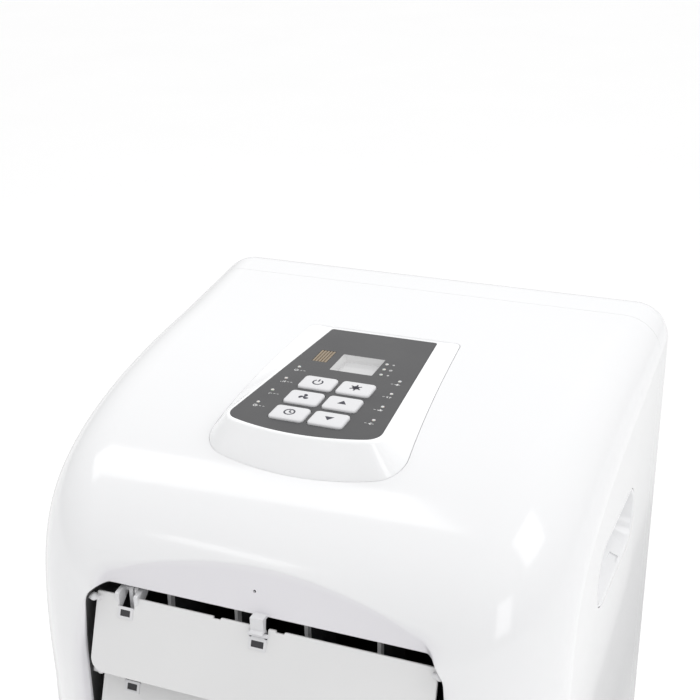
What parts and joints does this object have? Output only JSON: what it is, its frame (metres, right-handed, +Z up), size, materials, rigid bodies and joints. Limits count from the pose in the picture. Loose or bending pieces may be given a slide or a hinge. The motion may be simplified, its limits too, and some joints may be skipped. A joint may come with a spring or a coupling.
{
  "type": "portable air conditioner",
  "caption": "Upright room air conditioner on swivel casters, with a sloping control panel, swing louvers in a front scoop, side handle recesses, rear intake grilles and a hose collar.",
  "frame": {"origin": "on the floor, in the middle of the bounding box", "axes": "+Z up; -Y to the front, where the louvers are; +X to the right of someone who looks along +Y at the front"},
  "size_m": [0.3494, 0.3857, 0.6982],
  "materials": {
    "cabinet": "gloss moulded, near white",
    "louver": "satin moulded, pale grey",
    "inner": "satin moulded, mid grey",
    "label": "printed film, satin charcoal",
    "key": "satin white with dark legend",
    "window": "clear grey window over the display",
    "lamp": "translucent light guide",
    "receiver": "brown translucent window",
    "board": "green solder mask",
    "grille": "satin moulded, near white",
    "filter": "matt dark plastic and mesh",
    "rubber": "matt black rubber",
    "tyre": "dark grey caster wheel",
    "steel": "plain sheet steel",
    "painted": "black enamel",
    "fins": "plain aluminium fins",
    "copper": "bare copper"
  },
  "bodies": {
    "cabinet": {"front_housing": "cabinet", "rear_cover": "cabinet", "base_pan": "cabinet", "control_pod": "cabinet", "left_handle": "cabinet", "right_handle": "cabinet", "exhaust_collar": "cabinet", "cord_hook": "cabinet", "hinge_arm": "louver", "outlet_frame": "inner", "mid_deck": "inner", "evaporator_scroll": "inner", "condenser_scroll": "inner", "panel_label": "label", "display_window": "window", "lamp_guide": "lamp", "ir_receiver": "receiver", "control_board": "board", "cord_gland": "rubber", "compressor_mount": "rubber", "swing_motor": "steel", "evaporator_motor": "steel", "condenser_motor": "steel", "compressor": "painted", "evaporator_coil": "fins", "condenser_coil": "fins", "discharge_line": "copper", "suction_line": "copper"},
    "upper_louver": {"upper_louver": "louver"},
    "lower_louver": {"lower_louver": "louver"},
    "louver_link": {"louver_link": "louver"},
    "drive_rod": {"drive_rod": "louver"},
    "motor_arm": {"motor_arm": "louver"},
    "vane_1": {"vane_1": "louver"},
    "vane_2": {"vane_2": "louver"},
    "vane_3": {"vane_3": "louver"},
    "vane_4": {"vane_4": "louver"},
    "vane_tie_bar": {"vane_tie_bar": "louver"},
    "upper_grille": {"upper_grille": "grille", "upper_filter": "filter"},
    "lower_grille": {"lower_grille": "grille"},
    "upper_drain_cap": {"upper_drain_cap": "rubber"},
    "lower_drain_cap": {"lower_drain_cap": "rubber"},
    "evaporator_wheel": {"evaporator_wheel": "filter"},
    "condenser_wheel": {"condenser_wheel": "filter"},
    "water_float": {"water_float": "louver"},
    "button_power": {"button_power": "key"},
    "button_fan": {"button_fan": "key"},
    "button_timer": {"button_timer": "key"},
    "button_mode": {"button_mode": "key"},
    "button_up": {"button_up": "key"},
    "button_down": {"button_down": "key"},
    "caster_fork_front_left": {"caster_fork_front_left": "cabinet"},
    "caster_wheel_front_left": {"caster_wheel_front_left": "tyre"},
    "caster_fork_front_right": {"caster_fork_front_right": "cabinet"},
    "caster_wheel_front_right": {"caster_wheel_front_right": "tyre"},
    "caster_fork_rear_left": {"caster_fork_rear_left": "cabinet"},
    "caster_wheel_rear_left": {"caster_wheel_rear_left": "tyre"},
    "caster_fork_rear_right": {"caster_fork_rear_right": "cabinet"},
    "caster_wheel_rear_right": {"caster_wheel_rear_right": "tyre"}
  },
  "joints": [
    {"name": "upper_louver_tilt", "type": "hinge", "parent": "cabinet", "child": "upper_louver", "pos_m": [0, -0.1604, 0.5804], "axis": [1, 0, 0], "range_deg": [-45, 19]},
    {"name": "lower_louver_tilt", "type": "hinge", "parent": "cabinet", "child": "lower_louver", "pos_m": [0, -0.1604, 0.5266], "axis": [1, 0, 0], "range_deg": [-46, 20]},
    {"name": "louver_link_turn", "type": "hinge", "parent": "upper_louver", "child": "louver_link", "pos_m": [-0.09, -0.1494, 0.5844], "axis": [1, 0, 0], "range_deg": [-20, 46]},
    {"name": "drive_rod_turn", "type": "hinge", "parent": "upper_louver", "child": "drive_rod", "pos_m": [-0.09, -0.1494, 0.5844], "axis": [1, 0, 0], "range_deg": [-20, 46]},
    {"name": "motor_arm_turn", "type": "hinge", "parent": "cabinet", "child": "motor_arm", "pos_m": [-0.0896, -0.1137, 0.5804], "axis": [1, 0, 0], "range_deg": [-46, 20]},
    {"name": "vane_1_turn", "type": "hinge", "parent": "cabinet", "child": "vane_1", "pos_m": [-0.069, -0.1297, 0.533], "axis": [0, 0, 1], "range_deg": [-25, 25]},
    {"name": "vane_2_turn", "type": "hinge", "parent": "cabinet", "child": "vane_2", "pos_m": [-0.023, -0.1297, 0.533], "axis": [0, 0, 1], "range_deg": [-26, 26]},
    {"name": "vane_3_turn", "type": "hinge", "parent": "cabinet", "child": "vane_3", "pos_m": [0.023, -0.1297, 0.533], "axis": [0, 0, 1], "range_deg": [-26, 26]},
    {"name": "vane_4_turn", "type": "hinge", "parent": "cabinet", "child": "vane_4", "pos_m": [0.069, -0.1297, 0.533], "axis": [0, 0, 1], "range_deg": [-26, 26]},
    {"name": "vane_tie_bar_turn", "type": "hinge", "parent": "vane_1", "child": "vane_tie_bar", "pos_m": [-0.069, -0.1385, 0.5455], "axis": [0, 0, 1], "range_deg": [-26, 26]},
    {"name": "button_power_press", "type": "slide", "parent": "cabinet", "child": "button_power", "axis": [0, 0.0398, -0.9992], "range_m": [0, 0.0008], "stiffness_N_per_m": 300, "springref_m": -0.002},
    {"name": "button_fan_press", "type": "slide", "parent": "cabinet", "child": "button_fan", "axis": [0, 0.0398, -0.9992], "range_m": [0, 0.0008], "stiffness_N_per_m": 300, "springref_m": -0.002},
    {"name": "button_timer_press", "type": "slide", "parent": "cabinet", "child": "button_timer", "axis": [0, 0.0398, -0.9992], "range_m": [0, 0.0008], "stiffness_N_per_m": 300, "springref_m": -0.002},
    {"name": "button_mode_press", "type": "slide", "parent": "cabinet", "child": "button_mode", "axis": [0, 0.0398, -0.9992], "range_m": [0, 0.0008], "stiffness_N_per_m": 300, "springref_m": -0.002},
    {"name": "button_up_press", "type": "slide", "parent": "cabinet", "child": "button_up", "axis": [0, 0.0398, -0.9992], "range_m": [0, 0.0008], "stiffness_N_per_m": 300, "springref_m": -0.002},
    {"name": "button_down_press", "type": "slide", "parent": "cabinet", "child": "button_down", "axis": [0, 0.0398, -0.9992], "range_m": [0, 0.0008], "stiffness_N_per_m": 300, "springref_m": -0.002},
    {"name": "upper_grille_swing", "type": "hinge", "parent": "cabinet", "child": "upper_grille", "pos_m": [0, 0.1727, 0.3955], "axis": [-1, 0, 0], "range_deg": [0, 90]},
    {"name": "lower_grille_swing", "type": "hinge", "parent": "cabinet", "child": "lower_grille", "pos_m": [-0.076, 0.1727, 0.1105], "axis": [-1, 0, 0], "range_deg": [0, 90]},
    {"name": "upper_drain_cap_pull", "type": "slide", "parent": "cabinet", "child": "upper_drain_cap", "axis": [0, 1, 0], "range_m": [0, 0.02]},
    {"name": "lower_drain_cap_pull", "type": "slide", "parent": "cabinet", "child": "lower_drain_cap", "axis": [0, 1, 0], "range_m": [0, 0.02]},
    {"name": "evaporator_wheel_spin", "type": "hinge", "parent": "cabinet", "child": "evaporator_wheel", "pos_m": [0, 0.0643, 0.405], "axis": [0, 1, 0], "continuous": true},
    {"name": "condenser_wheel_spin", "type": "hinge", "parent": "cabinet", "child": "condenser_wheel", "pos_m": [0.07, 0.0643, 0.2], "axis": [0, 1, 0], "continuous": true},
    {"name": "water_float_rise", "type": "slide", "parent": "cabinet", "child": "water_float", "axis": [0, 0, 1], "range_m": [0, 0.015]},
    {"name": "caster_front_left_swivel", "type": "hinge", "parent": "cabinet", "child": "caster_fork_front_left", "pos_m": [-0.118, -0.1137, 0.05], "axis": [0, 0, 1], "continuous": true},
    {"name": "caster_front_left_roll", "type": "hinge", "parent": "caster_fork_front_left", "child": "caster_wheel_front_left", "pos_m": [-0.118, -0.0997, 0.02], "axis": [1, 0, 0], "continuous": true},
    {"name": "caster_front_right_swivel", "type": "hinge", "parent": "cabinet", "child": "caster_fork_front_right", "pos_m": [0.118, -0.1137, 0.05], "axis": [0, 0, 1], "continuous": true},
    {"name": "caster_front_right_roll", "type": "hinge", "parent": "caster_fork_front_right", "child": "caster_wheel_front_right", "pos_m": [0.118, -0.0997, 0.02], "axis": [1, 0, 0], "continuous": true},
    {"name": "caster_rear_left_swivel", "type": "hinge", "parent": "cabinet", "child": "caster_fork_rear_left", "pos_m": [-0.118, 0.1093, 0.05], "axis": [0, 0, 1], "continuous": true},
    {"name": "caster_rear_left_roll", "type": "hinge", "parent": "caster_fork_rear_left", "child": "caster_wheel_rear_left", "pos_m": [-0.118, 0.1233, 0.02], "axis": [1, 0, 0], "continuous": true},
    {"name": "caster_rear_right_swivel", "type": "hinge", "parent": "cabinet", "child": "caster_fork_rear_right", "pos_m": [0.118, 0.1093, 0.05], "axis": [0, 0, 1], "continuous": true},
    {"name": "caster_rear_right_roll", "type": "hinge", "parent": "caster_fork_rear_right", "child": "caster_wheel_rear_right", "pos_m": [0.118, 0.1233, 0.02], "axis": [1, 0, 0], "continuous": true}
  ],
  "couplings": [
    {"joint": "lower_louver_tilt", "follows": "upper_louver_tilt", "ratio": 1},
    {"joint": "louver_link_turn", "follows": "upper_louver_tilt", "ratio": -1},
    {"joint": "drive_rod_turn", "follows": "upper_louver_tilt", "ratio": -1},
    {"joint": "motor_arm_turn", "follows": "upper_louver_tilt", "ratio": 1},
    {"joint": "vane_2_turn", "follows": "vane_1_turn", "ratio": 1},
    {"joint": "vane_3_turn", "follows": "vane_1_turn", "ratio": 1},
    {"joint": "vane_4_turn", "follows": "vane_1_turn", "ratio": 1},
    {"joint": "vane_tie_bar_turn", "follows": "vane_1_turn", "ratio": -1}
  ]
}
